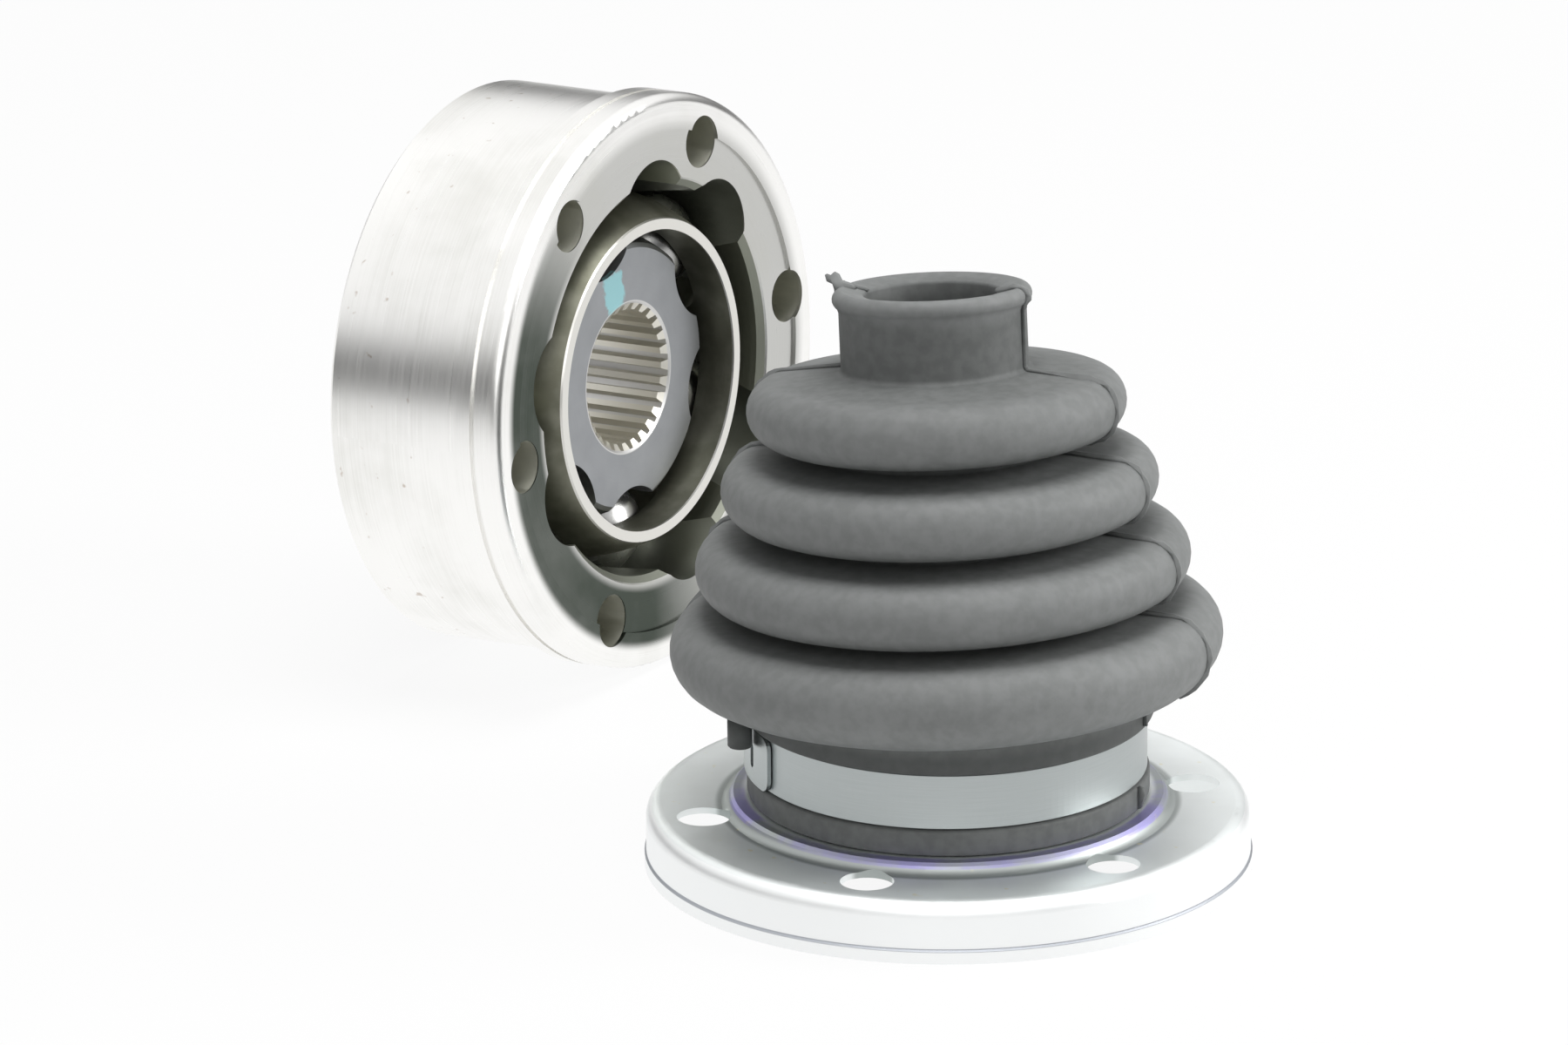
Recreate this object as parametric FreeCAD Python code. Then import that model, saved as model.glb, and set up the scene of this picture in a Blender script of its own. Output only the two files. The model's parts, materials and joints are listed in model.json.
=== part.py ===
import FreeCAD, Part
import math
import os

V = FreeCAD.Vector
os.makedirs("parts", exist_ok=True)

# A cross-groove plunging constant velocity joint lying on its rim, and beside it
# its boot kit: a rubber bellows clamped on a pressed flange cap, standing on the cap.
# Millimetres, +Z up, floor at z = 0. The boot's axis is the Z axis. The joint's
# axis lies in a plane of constant Y and looks along +X, raised by its rest tilt.

# ---- ball circle and tracks
BALL_R = 10.0
BALL_COUNT = 6
PITCH_R = 32.4             # ball centres, at mid plane
TRACK_TILT = 17.0          # degrees, each track leans this much, neighbours opposite ways
MID_PLANE = -19.8          # axial place of the ball plane, from the front face
OUTER_TRACK_GAP = 0.3      # ball to outer track
INNER_TRACK_GAP = 0.5      # ball to inner track
INNER_TRACK_DROP = 0.15    # the inner track's centre line lies this much deeper

# ---- bolt circle shared by the joint and the cap
BOLT_COUNT = 6
BOLT_OFFSET = 14.6         # bolt circle outside the ball circle
BOLT_PCD = 2 * (PITCH_R + BOLT_OFFSET)
BOLT_HOLE_R = 5.1
BOLT_PHASE_RACE = 4.5      # degrees, from the joint's local X
BOLT_PHASE_CAP = 43.3      # degrees, from the row's X

# ---- cage
CAGE_R = PITCH_R + 3.8     # outer sphere
CAGE_BORE_R = PITCH_R - 3.1
CAGE_HALF_WIDTH = 18.1
WINDOW_AXIAL_GAP = 0.15    # ball to each rail
WINDOW_SIDE_GAP = 2.3      # ball to each web, room for the ball's travel
WINDOW_CORNER_R = 3.5

# ---- inner race
INNER_R = CAGE_BORE_R - 0.5
INNER_HALF_WIDTH = 12.8
SPLINE_TEETH = 28
SPLINE_MINOR_R = 13.1
SPLINE_DEPTH = 1.3
SPLINE_MOUTH = 1.2         # chamfer
FACE_BEVEL = 0.6

# ---- outer race
RACE_WIDTH = 40.5
RACE_RIM_WALL = 8.8        # bolt circle to the flange band's outside
RACE_R = BOLT_PCD / 2 + RACE_RIM_WALL
BODY_DROP = 1.8            # the body behind the band is this much smaller
RACE_BODY_R = RACE_R - BODY_DROP
BAND_WIDTH = 10.0
SEAL_GROOVE_AT = 6.4       # groove in the band, from the front face
SEAL_GROOVE_W = 1.0
SEAL_GROOVE_DEPTH = 0.7
RIM_ROUND = 2.0            # rounded front corner of the band
FACE_FALL = 0.4            # the front face falls away this much towards that corner
RECESS_R = RACE_R - 7.1    # step on the front face
RECESS_DEPTH = 0.7
RACE_BORE_R = CAGE_R + 1.8
BORE_LIP = 1.5             # chamfer at each mouth of the bore
REAR_CHAMFER = 1.0
REAR_REGISTER_R = RACE_BORE_R + 4.5    # locating recess on the rear face
REAR_REGISTER_DEPTH = 1.5

# ---- where the joint lies
JOINT_X = -107.7
JOINT_Y = 66.7

# ---- flange cap, pressed from sheet
CAP_SHEET = 1.2
CAP_RIM_GAP = 0.1          # skirt bore over the race's flange band
CAP_HEIGHT = 11.9
CAP_SHOULDER_R = 3.0
HEM_HEIGHT = 2.7
HEM_STEP = 0.3
COLLAR_R = 33.9
COLLAR_TOP = 29.0
COLLAR_ROOT_R = 0.9
SEAT_RISE = 2.2            # raised ring that the cuff stands on

# ---- rubber boot: cuff on the collar
CUFF_GAP = 0.1             # cuff bore to collar, and cuff foot to seat ring
CUFF_WALL = 2.9            # under the clamp
CUFF_SEAT_R = COLLAR_R + CUFF_GAP + CUFF_WALL
CUFF_FOOT_R = CUFF_SEAT_R + 1.1
CUFF_SHOULDER_R = CUFF_SEAT_R + 2.1
SEAT_OUTER_R = CUFF_FOOT_R + 3.2
CUFF_SEAT_LOW = 19.3
CUFF_SEAT_HIGH = 30.6
CUFF_TOP = 35.6
CUFF_FILLET = 1.5
CUFF_CUT_R = CUFF_SHOULDER_R + 4.6     # where the cuff's piece ends

# ---- rubber boot: folds
BOOT_WALL = 1.8
FOLD_COUNT = 4
FOLD_PITCH = 14.9
FOLD_TOP_Z = 89.4          # crest of the smallest fold
FOLD_TOP_R = 35.8
FOLD_GROWTH = 5.45         # each fold is this much larger than the one above
CREST_ROUND = 5.5
VALLEY_ROUND = 1.0
VALLEY_TOP_R = 22.5
VALLEY_GROWTH = 6.0
VALLEY_LIFT = 7.8          # valley above the crest that follows it
MID_CUT_R = VALLEY_TOP_R + VALLEY_GROWTH + 3.0   # where the mid ring's piece ends

# ---- rubber boot: neck
NECK_BORE_R = 13.4
NECK_WALL = 4.3
NECK_R = NECK_BORE_R + NECK_WALL
NECK_BASE_Z = 98.2
NECK_FILLET = 2.0
BEAD_ROUND = 2.3           # rolled rim at the neck's mouth
BEAD_R = NECK_R + 1.2
BEAD_Z = 110.2
NECK_CUT_R = NECK_R + 3.8  # where the neck's piece ends
SEAM = 0.3
VENT_R = 2.4
VENT_BORE_R = 1.1
VENT_AT_R = CUFF_SHOULDER_R + 2.1
VENT_FOOT_Z = 26.2
VENT_ANGLE = 231.4
FLASH_ANGLE = 197.9        # parting line of the mould

# ---- band clamp
CLAMP_T = 0.6
CLAMP_GAP = 0.05
CLAMP_MARGIN = 0.3         # band edge to the cuff's shoulders
EAR_ANGLE = 242.6
EAR_HALF_W = 3.3
EAR_RISE = 2.6
EAR_CORNER = 1.0
EAR_SLOT_W = 1.6
EAR_SLOT_H = 6.4


# ================================================================ helpers
def polar(radius, degrees, z=0.0):
    a = math.radians(degrees)
    return V(radius * math.cos(a), radius * math.sin(a), z)


def rz(r, z):
    """A point of a turned profile: radius r, height z."""
    return V(r, 0, z)


def line(a, b):
    return Part.LineSegment(a, b).toShape()


def arc_mid(a, middle, b):
    return Part.Arc(a, middle, b).toShape()


def turn(edges):
    """Revolve a closed profile about Z."""
    wire = Part.Wire(Part.__sortEdges__(edges))
    return Part.Face(wire).revolve(V(0, 0, 0), V(0, 0, 1), 360)


def polygon(points):
    return [line(a, b) for a, b in zip(points, points[1:] + points[:1])]


def drum(radius, low, high, at=None):
    base = V(0, 0, low) if at is None else V(at.x, at.y, low)
    return Part.makeCylinder(radius, high - low, base)


def tidy(shape):
    """One clean solid out of a boolean result."""
    shape = shape.removeSplitter()
    return shape.Solids[0] if len(shape.Solids) == 1 else shape


def bolt_holes(phase, low, high):
    holes = []
    for k in range(BOLT_COUNT):
        spot = polar(BOLT_PCD / 2, phase + 360.0 * k / BOLT_COUNT)
        holes.append(drum(BOLT_HOLE_R, low, high, spot))
    return holes


# ================================================================ the joint
# Everything of the joint is made about Z with its front face at z = 0,
# then laid down at the end.
BALL_ANGLES = [BOLT_PHASE_RACE + 360.0 * (k + 0.5) / BALL_COUNT for k in range(BALL_COUNT)]
LEAN = [1 if k % 2 == 0 else -1 for k in range(BALL_COUNT)]


def track(angle, lean, centre_r, radius):
    """A straight round-bottomed ball track, leaning sideways by TRACK_TILT."""
    reach = 2 * RACE_WIDTH
    side = polar(1, angle + 90)
    run = V(0, 0, 1) + side * (lean * math.tan(math.radians(TRACK_TILT)))
    run.normalize()
    start = polar(centre_r, angle, MID_PLANE) - run * (reach / 2)
    return Part.makeCylinder(radius, reach, start, run)


def make_outer_race():
    corner_r = RACE_R - RIM_ROUND
    corner_z = -FACE_FALL - RIM_ROUND
    groove_floor = RACE_R - SEAL_GROOVE_DEPTH
    groove_top = -SEAL_GROOVE_AT + SEAL_GROOVE_W / 2
    groove_low = -SEAL_GROOVE_AT - SEAL_GROOVE_W / 2
    diag = RIM_ROUND * math.cos(math.radians(45))
    recess = -RECESS_DEPTH
    edges = [
        line(rz(RECESS_R, 0), rz(corner_r, -FACE_FALL)),
        arc_mid(rz(corner_r, -FACE_FALL), rz(corner_r + diag, corner_z + diag), rz(RACE_R, corner_z)),
    ]
    path = [
        rz(RACE_R, corner_z),
        rz(RACE_R, groove_top),
        rz(groove_floor, groove_top),
        rz(groove_floor, groove_low),
        rz(RACE_R, groove_low),
        rz(RACE_R, -BAND_WIDTH),
        rz(RACE_BODY_R, -BAND_WIDTH - 0.4),
        rz(RACE_BODY_R, -RACE_WIDTH + REAR_CHAMFER),
        rz(RACE_BODY_R - REAR_CHAMFER, -RACE_WIDTH),
        rz(REAR_REGISTER_R, -RACE_WIDTH),
        rz(REAR_REGISTER_R, -RACE_WIDTH + REAR_REGISTER_DEPTH),
        rz(RACE_BORE_R + BORE_LIP, -RACE_WIDTH + REAR_REGISTER_DEPTH),
        rz(RACE_BORE_R, -RACE_WIDTH + REAR_REGISTER_DEPTH + BORE_LIP),
        rz(RACE_BORE_R, recess - BORE_LIP),
        rz(RACE_BORE_R + BORE_LIP, recess),
        rz(RECESS_R, recess),
        rz(RECESS_R, 0),
    ]
    edges += [line(a, b) for a, b in zip(path, path[1:])]
    race = turn(edges)
    cuts = bolt_holes(BOLT_PHASE_RACE, -RACE_WIDTH - 1, 1)
    for angle, lean in zip(BALL_ANGLES, LEAN):
        cuts.append(track(angle, lean, PITCH_R, BALL_R + OUTER_TRACK_GAP))
    return tidy(race.cut(cuts))


def make_cage():
    edge_r = math.sqrt(CAGE_R ** 2 - CAGE_HALF_WIDTH ** 2)
    top = MID_PLANE + CAGE_HALF_WIDTH
    low = MID_PLANE - CAGE_HALF_WIDTH
    edges = [
        arc_mid(rz(edge_r, low), rz(CAGE_R, MID_PLANE), rz(edge_r, top)),
        line(rz(edge_r, top), rz(CAGE_BORE_R, top)),
        line(rz(CAGE_BORE_R, top), rz(CAGE_BORE_R, low)),
        line(rz(CAGE_BORE_R, low), rz(edge_r, low)),
    ]
    cage = turn(edges)
    half_w = BALL_R + WINDOW_SIDE_GAP
    half_h = BALL_R + WINDOW_AXIAL_GAP
    depth = CAGE_R - CAGE_BORE_R + 6
    windows = []
    for angle in BALL_ANGLES:
        window = Part.makeBox(depth, 2 * half_w, 2 * half_h, V(CAGE_BORE_R - 3, -half_w, MID_PLANE - half_h))
        corners = [e for e in window.Edges if abs(e.tangentAt(0).x) > 0.99]
        window = window.makeFillet(WINDOW_CORNER_R, corners)
        window.rotate(V(0, 0, 0), V(0, 0, 1), angle)
        windows.append(window)
    return tidy(cage.cut(windows))


def spline_cutter(low, high):
    """The toothed bore as one prism: four corners to a tooth space."""
    pitch = 360.0 / SPLINE_TEETH
    root_r = SPLINE_MINOR_R + SPLINE_DEPTH
    points = []
    for k in range(SPLINE_TEETH):
        for share, radius in ((-0.30, SPLINE_MINOR_R), (-0.17, root_r), (0.17, root_r), (0.30, SPLINE_MINOR_R)):
            points.append(polar(radius, (k + share) * pitch, low))
    face = Part.Face(Part.Wire(polygon(points)))
    return face.extrude(V(0, 0, high - low))


def make_inner_race():
    face_r = math.sqrt(INNER_R ** 2 - INNER_HALF_WIDTH ** 2)
    top = MID_PLANE + INNER_HALF_WIDTH
    low = MID_PLANE - INNER_HALF_WIDTH
    mouth_r = SPLINE_MINOR_R + SPLINE_DEPTH + 0.4
    bevel_r = math.sqrt(INNER_R ** 2 - (INNER_HALF_WIDTH - FACE_BEVEL) ** 2)
    edges = [
        arc_mid(rz(bevel_r, low + FACE_BEVEL), rz(INNER_R, MID_PLANE), rz(bevel_r, top - FACE_BEVEL)),
    ]
    path = [
        rz(bevel_r, top - FACE_BEVEL),
        rz(face_r - FACE_BEVEL, top),
        rz(mouth_r, top),
        rz(mouth_r - SPLINE_MOUTH - 0.7, top - SPLINE_MOUTH),
        rz(mouth_r - SPLINE_MOUTH - 0.7, low + SPLINE_MOUTH),
        rz(mouth_r, low),
        rz(face_r - FACE_BEVEL, low),
        rz(bevel_r, low + FACE_BEVEL),
    ]
    edges += [line(a, b) for a, b in zip(path, path[1:])]
    race = turn(edges)
    cuts = [spline_cutter(low - 1, top + 1)]
    for angle, lean in zip(BALL_ANGLES, LEAN):
        cuts.append(track(angle, -lean, PITCH_R - INNER_TRACK_DROP, BALL_R + INNER_TRACK_GAP))
    return tidy(race.cut(cuts))


def make_ball(angle):
    return Part.makeSphere(BALL_R, polar(PITCH_R, angle, MID_PLANE), V(0, 0, 1))


# The race lies on its flange band and on the rear edge of its body, so its axis
# rises towards the front.
REST_SPAN = RACE_WIDTH - REAR_CHAMFER - BAND_WIDTH
REST_TILT = math.atan2(RACE_R - RACE_BODY_R, REST_SPAN)
JOINT_Z = RACE_R * math.cos(REST_TILT) + BAND_WIDTH * math.sin(REST_TILT)


def lay_down(shape):
    c, s = math.cos(REST_TILT), math.sin(REST_TILT)
    frame = FreeCAD.Matrix(0, -s, c, JOINT_X,
                           1, 0, 0, JOINT_Y,
                           0, c, s, JOINT_Z,
                           0, 0, 0, 1)
    laid = shape.copy()
    laid.Placement = FreeCAD.Placement(frame).multiply(laid.Placement)
    return laid


# ================================================================ the boot kit
def make_flange_cap():
    inner_r = RACE_R + CAP_RIM_GAP
    outer_r = inner_r + CAP_SHEET
    face = CAP_HEIGHT
    under = CAP_HEIGHT - CAP_SHEET
    seat = CAP_HEIGHT + SEAT_RISE
    seat_under = seat - CAP_SHEET
    collar_in = COLLAR_R - CAP_SHEET
    sh = CAP_SHOULDER_R
    diag = sh * math.sin(math.radians(45))
    sh_in = sh - CAP_SHEET
    diag_in = sh_in * math.sin(math.radians(45))
    corner = (outer_r - sh, face - sh)
    root = COLLAR_ROOT_R
    slope = SEAT_RISE * 0.75
    edges = [
        line(rz(inner_r, 0), rz(outer_r + HEM_STEP, 0)),
        line(rz(outer_r + HEM_STEP, 0), rz(outer_r + HEM_STEP, HEM_HEIGHT - HEM_STEP)),
        line(rz(outer_r + HEM_STEP, HEM_HEIGHT - HEM_STEP), rz(outer_r, HEM_HEIGHT)),
        line(rz(outer_r, HEM_HEIGHT), rz(outer_r, face - sh)),
        arc_mid(rz(outer_r, face - sh), rz(corner[0] + diag, corner[1] + diag), rz(outer_r - sh, face)),
        line(rz(outer_r - sh, face), rz(SEAT_OUTER_R + slope, face)),
        arc_mid(rz(SEAT_OUTER_R + slope, face),
                rz(SEAT_OUTER_R + 0.35 * slope, face + 0.30 * SEAT_RISE),
                rz(SEAT_OUTER_R, seat - 0.25 * SEAT_RISE)),
        line(rz(SEAT_OUTER_R, seat - 0.25 * SEAT_RISE), rz(SEAT_OUTER_R - 0.6, seat)),
        line(rz(SEAT_OUTER_R - 0.6, seat), rz(COLLAR_R + root, seat)),
        arc_mid(rz(COLLAR_R + root, seat),
                rz(COLLAR_R + root * (1 - math.sin(math.radians(45))),
                   seat + root * (1 - math.sin(math.radians(45)))),
                rz(COLLAR_R, seat + root)),
        line(rz(COLLAR_R, seat + root), rz(COLLAR_R, COLLAR_TOP)),
        line(rz(COLLAR_R, COLLAR_TOP), rz(collar_in, COLLAR_TOP)),
        line(rz(collar_in, COLLAR_TOP), rz(collar_in, seat_under + root + 1)),
        arc_mid(rz(collar_in, seat_under + root + 1),
                rz(collar_in + 0.42 * (root + 1), seat_under + 0.42 * (root + 1)),
                rz(collar_in + root + 1, seat_under)),
        line(rz(collar_in + root + 1, seat_under), rz(SEAT_OUTER_R - CAP_SHEET, seat_under)),
        line(rz(SEAT_OUTER_R - CAP_SHEET, seat_under), rz(SEAT_OUTER_R + 0.4, under)),
        line(rz(SEAT_OUTER_R + 0.4, under), rz(outer_r - sh, under)),
        arc_mid(rz(outer_r - sh, under), rz(corner[0] + diag_in, corner[1] + diag_in),
                rz(inner_r, face - sh)),
        line(rz(inner_r, face - sh), rz(inner_r, 0)),
    ]
    cap = turn(edges)
    return tidy(cap.cut(bolt_holes(BOLT_PHASE_CAP, under - 1, seat + 1)))


def tangent(c1, r1, c2, r2):
    """Inner tangent of two rounds in the (r, z) plane: the points where it touches.
    The line passes the first round on its left and the second on its right
    for positive radii."""
    dx, dz = c2[0] - c1[0], c2[1] - c1[1]
    dist = math.hypot(dx, dz)
    base = math.atan2(dz, dx)
    swing = math.acos((r1 + r2) / dist)
    a = base + swing
    n = (math.cos(a), math.sin(a))
    p1 = (c1[0] + n[0] * r1, c1[1] + n[1] * r1)
    p2 = (c2[0] - n[0] * r2, c2[1] - n[1] * r2)
    return p1, p2


def tangent_other(c1, r1, c2, r2):
    dx, dz = c2[0] - c1[0], c2[1] - c1[1]
    dist = math.hypot(dx, dz)
    base = math.atan2(dz, dx)
    swing = math.acos((r1 + r2) / dist)
    a = base - swing
    n = (math.cos(a), math.sin(a))
    p1 = (c1[0] + n[0] * r1, c1[1] + n[1] * r1)
    p2 = (c2[0] - n[0] * r2, c2[1] - n[1] * r2)
    return p1, p2


def round_mid(c, r, p, q, outward):
    """Middle point of the arc about c from p to q that bulges to the side outward."""
    ap = math.atan2(p[1] - c[1], p[0] - c[0])
    aq = math.atan2(q[1] - c[1], q[0] - c[0])
    m = (ap + aq) / 2
    x, z = c[0] + r * math.cos(m), c[1] + r * math.sin(m)
    if (x - c[0]) * outward < 0:
        x, z = 2 * c[0] - x, 2 * c[1] - z
    return x, z


def boot_rounds(inset):
    """Rounds that the wall runs over, from the neck down to the cuff, as
    (centre, radius, bulge): bulge +1 is a crest, -1 a valley. inset moves the
    contour into the wall: 0 gives the outside, BOOT_WALL the inside."""
    rounds = [((NECK_R + NECK_FILLET, NECK_BASE_Z), NECK_FILLET + inset, -1)]
    for k in range(FOLD_COUNT):
        crest_z = FOLD_TOP_Z - k * FOLD_PITCH
        crest_r = FOLD_TOP_R + k * FOLD_GROWTH
        if k > 0:
            valley_r = VALLEY_TOP_R + (k - 1) * VALLEY_GROWTH
            rounds.append(((valley_r + VALLEY_ROUND, crest_z + VALLEY_LIFT), VALLEY_ROUND + inset, -1))
        rounds.append(((crest_r - CREST_ROUND, crest_z), CREST_ROUND - inset, 1))
    rounds.append(((CUFF_SHOULDER_R + CUFF_FILLET, CUFF_TOP), CUFF_FILLET + inset, -1))
    return rounds


def wavy_edges(inset):
    """Edges over all the rounds, with the first and last point."""
    rounds = boot_rounds(inset)
    touch = []
    for (c1, r1, b1), (c2, r2, b2) in zip(rounds, rounds[1:]):
        if b1 < 0:
            touch.append(tangent_other(c1, r1, c2, r2))
        else:
            touch.append(tangent(c1, r1, c2, r2))
    first = (rounds[0][0][0] - rounds[0][1], rounds[0][0][1])
    last = (rounds[-1][0][0] - rounds[-1][1], rounds[-1][0][1])
    ins = [first] + [pair[1] for pair in touch]
    outs = [pair[0] for pair in touch] + [last]
    edges = []
    for (c, r, bulge), a, b in zip(rounds, ins, outs):
        edges.append(arc_mid(rz(*a), rz(*round_mid(c, r, a, b, bulge)), rz(*b)))
    for a, b in touch:
        edges.append(line(rz(*a), rz(*b)))
    return edges, first, last


def make_boot():
    outer, neck_out, cuff_out = wavy_edges(0)
    inner, neck_in, cuff_in = wavy_edges(BOOT_WALL)
    bead_c = (BEAD_R - BEAD_ROUND, BEAD_Z)
    bead_low = BEAD_Z - math.sqrt(BEAD_ROUND ** 2 - (NECK_R - bead_c[0]) ** 2)
    foot = CAP_HEIGHT + SEAT_RISE + CUFF_GAP
    cuff_bore = COLLAR_R + CUFF_GAP
    lip_r = bead_c[0] - BEAD_ROUND
    edges = outer + inner
    edges += [
        line(rz(*neck_out), rz(NECK_R, bead_low)),
        arc_mid(rz(NECK_R, bead_low), rz(BEAD_R, BEAD_Z), rz(bead_c[0], BEAD_Z + BEAD_ROUND)),
        arc_mid(rz(bead_c[0], BEAD_Z + BEAD_ROUND),
                rz(bead_c[0] - BEAD_ROUND * 0.7071, BEAD_Z + BEAD_ROUND * 0.7071),
                rz(lip_r, BEAD_Z)),
        line(rz(lip_r, BEAD_Z), rz(NECK_BORE_R, BEAD_Z - 2)),
        line(rz(NECK_BORE_R, BEAD_Z - 2), rz(NECK_BORE_R, NECK_BASE_Z + 1.8)),
        line(rz(NECK_BORE_R, NECK_BASE_Z + 1.8), rz(*neck_in)),
    ]
    cuff = [
        rz(*cuff_out),
        rz(CUFF_SHOULDER_R, CUFF_SEAT_HIGH + 0.6),
        rz(CUFF_SHOULDER_R - 0.6, CUFF_SEAT_HIGH),
        rz(CUFF_SEAT_R, CUFF_SEAT_HIGH),
        rz(CUFF_SEAT_R, CUFF_SEAT_LOW),
        rz(CUFF_FOOT_R - 0.5, CUFF_SEAT_LOW),
        rz(CUFF_FOOT_R, CUFF_SEAT_LOW - 0.5),
        rz(CUFF_FOOT_R, foot + 0.8),
        rz(CUFF_FOOT_R - 0.8, foot),
        rz(COLLAR_R + COLLAR_ROOT_R + CUFF_GAP, foot),
        rz(cuff_bore, foot + COLLAR_ROOT_R),
        rz(cuff_bore, COLLAR_TOP + 2),
        rz(*cuff_in),
    ]
    edges += [line(a, b) for a, b in zip(cuff, cuff[1:])]
    return turn(edges)


def split_boot(boot):
    """The moulding in five stretches, so that its neck can move: neck, upper
    folds, mid ring, lower folds and cuff."""
    mid_crest = FOLD_TOP_Z - 1 * FOLD_PITCH
    neck_low = FOLD_TOP_Z
    high = BEAD_Z + 2 * BEAD_ROUND
    ring_high, ring_low = mid_crest, mid_crest - FOLD_PITCH
    cuff_high = FOLD_TOP_Z - (FOLD_COUNT - 1) * FOLD_PITCH
    neck = tidy(boot.common(drum(NECK_CUT_R, neck_low, high)))
    ring = tidy(boot.common(drum(MID_CUT_R, ring_low, ring_high)))
    cuff = tidy(boot.common(drum(CUFF_CUT_R, 0, cuff_high)))
    rest = boot.cut([
        drum(NECK_CUT_R + SEAM, neck_low, high),
        drum(MID_CUT_R + SEAM, ring_low, ring_high),
        drum(CUFF_CUT_R + SEAM, 0, cuff_high),
    ])
    folds = sorted(rest.Solids, key=lambda s: s.CenterOfMass.z)
    return neck, folds[1], ring, folds[0], cuff


def add_flash_tab(neck):
    """Torn end of moulding flash that stands up from the bead at the parting line."""
    low, high = BEAD_Z - 1, BEAD_Z + 4.6
    r0 = BEAD_R - 1.6
    points = [rz(r0, low), rz(BEAD_R + 0.2, low), rz(BEAD_R + 0.9, high - 2.2), rz(BEAD_R + 1.9, high - 0.9),
              rz(BEAD_R + 0.7, high), rz(r0 + 0.9, high - 1.5)]
    tab = Part.Face(Part.Wire(polygon(points))).extrude(V(0, 1.0, 0))
    tab.translate(V(0, -0.5, 0))
    tab.rotate(V(0, 0, 0), V(0, 0, 1), FLASH_ANGLE)
    return tidy(neck.fuse(tab))


def add_vent(cuff):
    """Short breather tube that hangs from the lowest fold beside the clamp."""
    spot = polar(VENT_AT_R, VENT_ANGLE)
    top = CUFF_TOP + 1.0
    tube = drum(VENT_R, VENT_FOOT_Z, top, spot)
    bore = drum(VENT_BORE_R, VENT_FOOT_Z - 1, top - 1.6, spot)
    return tidy(cuff.fuse(tube).cut(bore))


def make_clamp():
    low, high = CUFF_SEAT_LOW + CLAMP_MARGIN, CUFF_SEAT_HIGH - CLAMP_MARGIN
    inner_r = CUFF_SEAT_R + CLAMP_GAP
    outer_r = inner_r + CLAMP_T
    band = drum(outer_r, low, high).cut(drum(inner_r, low - 1, high + 1))
    crown = outer_r + EAR_RISE
    ear = Part.makeBox(crown - inner_r + 2, 2 * EAR_HALF_W, high - low, V(inner_r - 2, -EAR_HALF_W, low))
    posts = [e for e in ear.Edges if abs(e.tangentAt(0).z) > 0.99 and e.Vertexes[0].X > inner_r]
    ear = ear.makeFillet(EAR_CORNER, posts)
    half_in = EAR_HALF_W - CLAMP_T
    hollow = Part.makeBox(crown - CLAMP_T - inner_r + 3, 2 * half_in, high - low + 2,
                          V(inner_r - 3, -half_in, low - 1))
    posts = [e for e in hollow.Edges if abs(e.tangentAt(0).z) > 0.99 and e.Vertexes[0].X > inner_r]
    hollow = hollow.makeFillet(EAR_CORNER - 0.4, posts)
    middle = (low + high) / 2
    slot = Part.makeBox(4, EAR_SLOT_W, EAR_SLOT_H,
                        V(crown - 2, -half_in + 0.5, middle - EAR_SLOT_H / 2 + 0.4))
    ear = ear.cut(drum(inner_r, low - 1, high + 1))
    for piece in (ear, hollow, slot):
        piece.rotate(V(0, 0, 0), V(0, 0, 1), EAR_ANGLE)
    return tidy(band.fuse(ear).cut([hollow, slot]))


# ================================================================ build
nodes = {
    "outer_race": lay_down(make_outer_race()),
    "cage": lay_down(make_cage()),
    "inner_race": lay_down(make_inner_race()),
}
for number, ball_angle in enumerate(BALL_ANGLES, 1):
    nodes["ball_%d" % number] = lay_down(make_ball(ball_angle))
neck, folds_upper, ring, folds_lower, cuff = split_boot(make_boot())
nodes["flange_cap"] = make_flange_cap()
nodes["boot_clamp"] = make_clamp()
nodes["boot_neck"] = add_flash_tab(neck)
nodes["boot_folds_upper"] = folds_upper
nodes["boot_mid_ring"] = ring
nodes["boot_folds_lower"] = folds_lower
nodes["boot_cuff"] = add_vent(cuff)

for name, shape in nodes.items():
    box = shape.BoundBox
    print("%-18s solids %d valid %s volume %9.1f  x %7.2f %7.2f  y %7.2f %7.2f  z %7.2f %7.2f" % (
        name, len(shape.Solids), shape.isValid(), shape.Volume,
        box.XMin, box.XMax, box.YMin, box.YMax, box.ZMin, box.ZMax))
    shape.exportStep("parts/%s.step" % name)
print("rest tilt %.4f deg, joint front face centre %.3f %.3f %.3f" % (
    math.degrees(REST_TILT), JOINT_X, JOINT_Y, JOINT_Z))
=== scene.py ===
import bpy
import bmesh
import json
import math
import random
from mathutils import Matrix, Vector


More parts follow.
